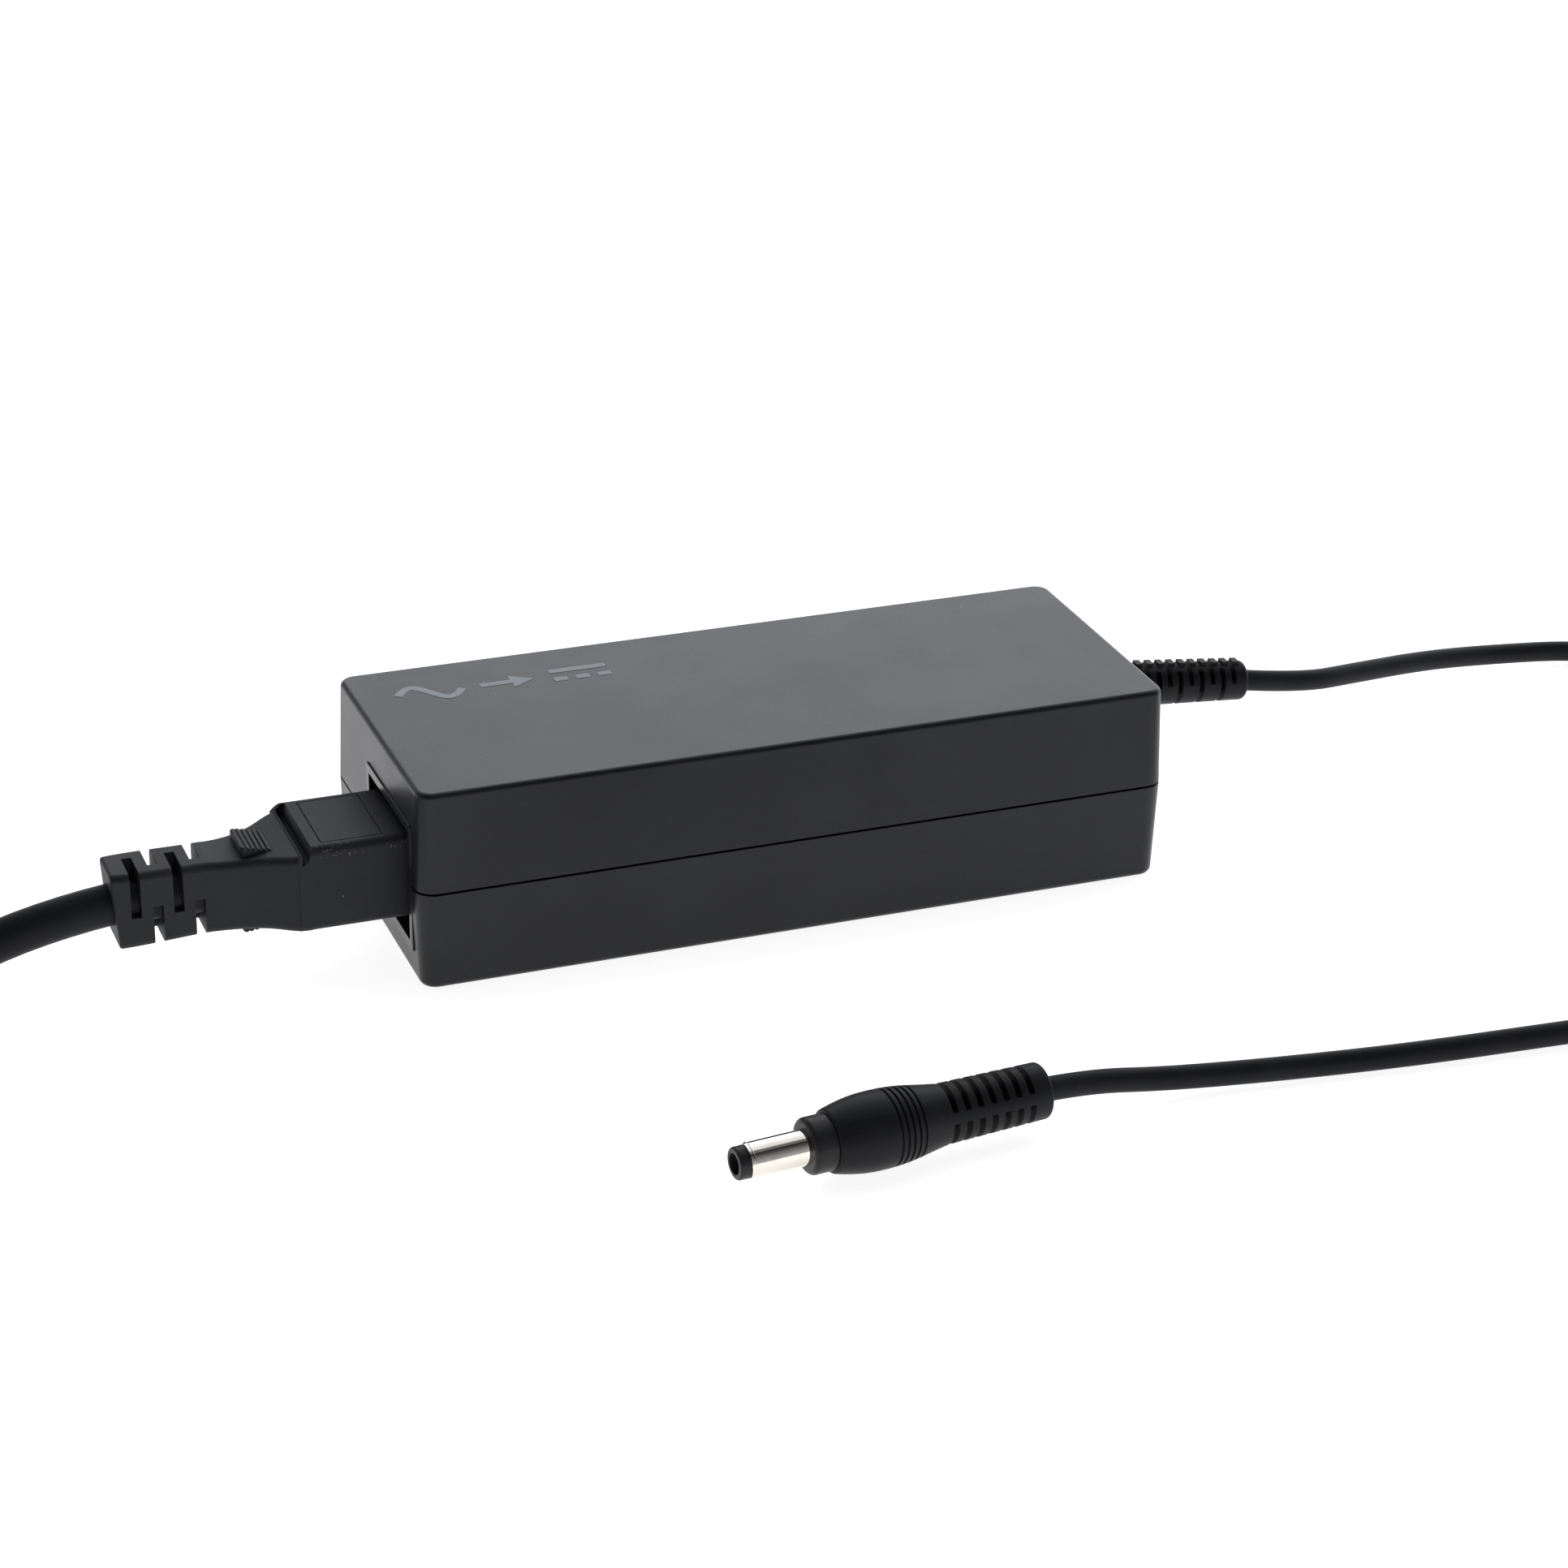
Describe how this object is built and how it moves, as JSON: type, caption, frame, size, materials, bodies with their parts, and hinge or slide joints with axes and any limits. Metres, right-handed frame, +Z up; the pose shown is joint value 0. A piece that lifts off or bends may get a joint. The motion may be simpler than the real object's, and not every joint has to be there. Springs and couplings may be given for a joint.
{
  "type": "laptop power adapter",
  "caption": "Desktop power brick for a laptop, with a captive low-voltage cord ending in a barrel plug and a mains lead that pulls out of its inlet.",
  "frame": {"origin": "centre of the case's underside, on the surface it stands on", "axes": "+X along the case from the mains inlet towards the low-voltage cord, +Z up"},
  "size_m": [0.5081, 0.1395, 0.0342],
  "materials": {
    "case_plastic": "fine texture",
    "label_film": "satin film",
    "inlet_plastic": "moulded",
    "contact_metal": "bright",
    "connector_plastic": "soft moulded vinyl",
    "cord_jacket": "satin",
    "strap_fabric": "hook-and-loop strap",
    "relief_rubber": "satin",
    "plug_plastic": "moulded",
    "nickel": "plated",
    "board_laminate": "glass-epoxy laminate",
    "insulating_film": "film",
    "copper": "enamelled wire",
    "winding_tape": "tape",
    "bobbin_plastic": "moulded",
    "ferrite": "sintered",
    "heatsink_metal": "satin",
    "chip_plastic": "moulded epoxy",
    "film_capacitor": "moulded",
    "disc_capacitor": "lacquered",
    "capacitor_sleeve": "shrink sleeve",
    "fuse_glass": "glazed",
    "live_wire": "insulated",
    "neutral_wire": "insulated",
    "earth_wire": "insulated",
    "output_wire": "insulated"
  },
  "bodies": {
    "adapter": {"bridge_rectifier": "chip_plastic", "bulk_capacitor": "capacitor_sleeve", "circuit_board": "board_laminate", "controller_chip": "chip_plastic", "dc_coil_tie": "strap_fabric", "dc_cord": "cord_jacket", "dc_cord_coil": "cord_jacket", "dc_cord_end": "cord_jacket", "dc_plug_barrel": "nickel", "dc_plug_centre_contact": "contact_metal", "dc_plug_collar": "plug_plastic", "dc_plug_insulator": "plug_plastic", "dc_plug_overmould": "relief_rubber", "dc_strain_relief": "relief_rubber", "filter_choke_core": "ferrite", "filter_choke_line_winding": "copper", "filter_choke_neutral_winding": "copper", "fuse": "fuse_glass", "inlet_earth_pin": "contact_metal", "inlet_earth_wire": "earth_wire", "inlet_housing": "inlet_plastic", "inlet_line_pin": "contact_metal", "inlet_line_wire": "live_wire", "inlet_neutral_pin": "contact_metal", "inlet_neutral_wire": "neutral_wire", "insulating_sheet": "insulating_film", "lower_shell": "case_plastic", "optocoupler": "chip_plastic", "output_capacitor_1": "capacitor_sleeve", "output_capacitor_2": "capacitor_sleeve", "output_capacitor_3": "capacitor_sleeve", "output_choke": "copper", "output_negative_lead": "output_wire", "output_positive_lead": "live_wire", "output_rectifier": "chip_plastic", "primary_heatsink": "heatsink_metal", "rating_label": "label_film", "secondary_heatsink": "heatsink_metal", "switching_transistor": "chip_plastic", "transformer_bobbin": "bobbin_plastic", "transformer_core": "ferrite", "transformer_winding": "winding_tape", "upper_shell": "case_plastic", "x_capacitor": "film_capacitor", "y_capacitor": "disc_capacitor"},
    "mains_lead": {"connector_earth_contact": "contact_metal", "connector_insert": "inlet_plastic", "connector_line_contact": "contact_metal", "connector_neutral_contact": "contact_metal", "connector_overmould": "connector_plastic", "mains_coil_tie": "strap_fabric", "mains_cord": "cord_jacket", "mains_cord_coil": "cord_jacket", "mains_cord_end": "cord_jacket", "mains_plug_body": "connector_plastic", "mains_plug_line_pin": "nickel", "mains_plug_lower_earth_strip": "nickel", "mains_plug_neutral_pin": "nickel", "mains_plug_upper_earth_strip": "nickel"}
  },
  "joints": [
    {"name": "mains_lead_pull", "type": "slide", "parent": "adapter", "child": "mains_lead", "axis": [-1, 0, 0], "range_m": [0, 0.02]}
  ]
}
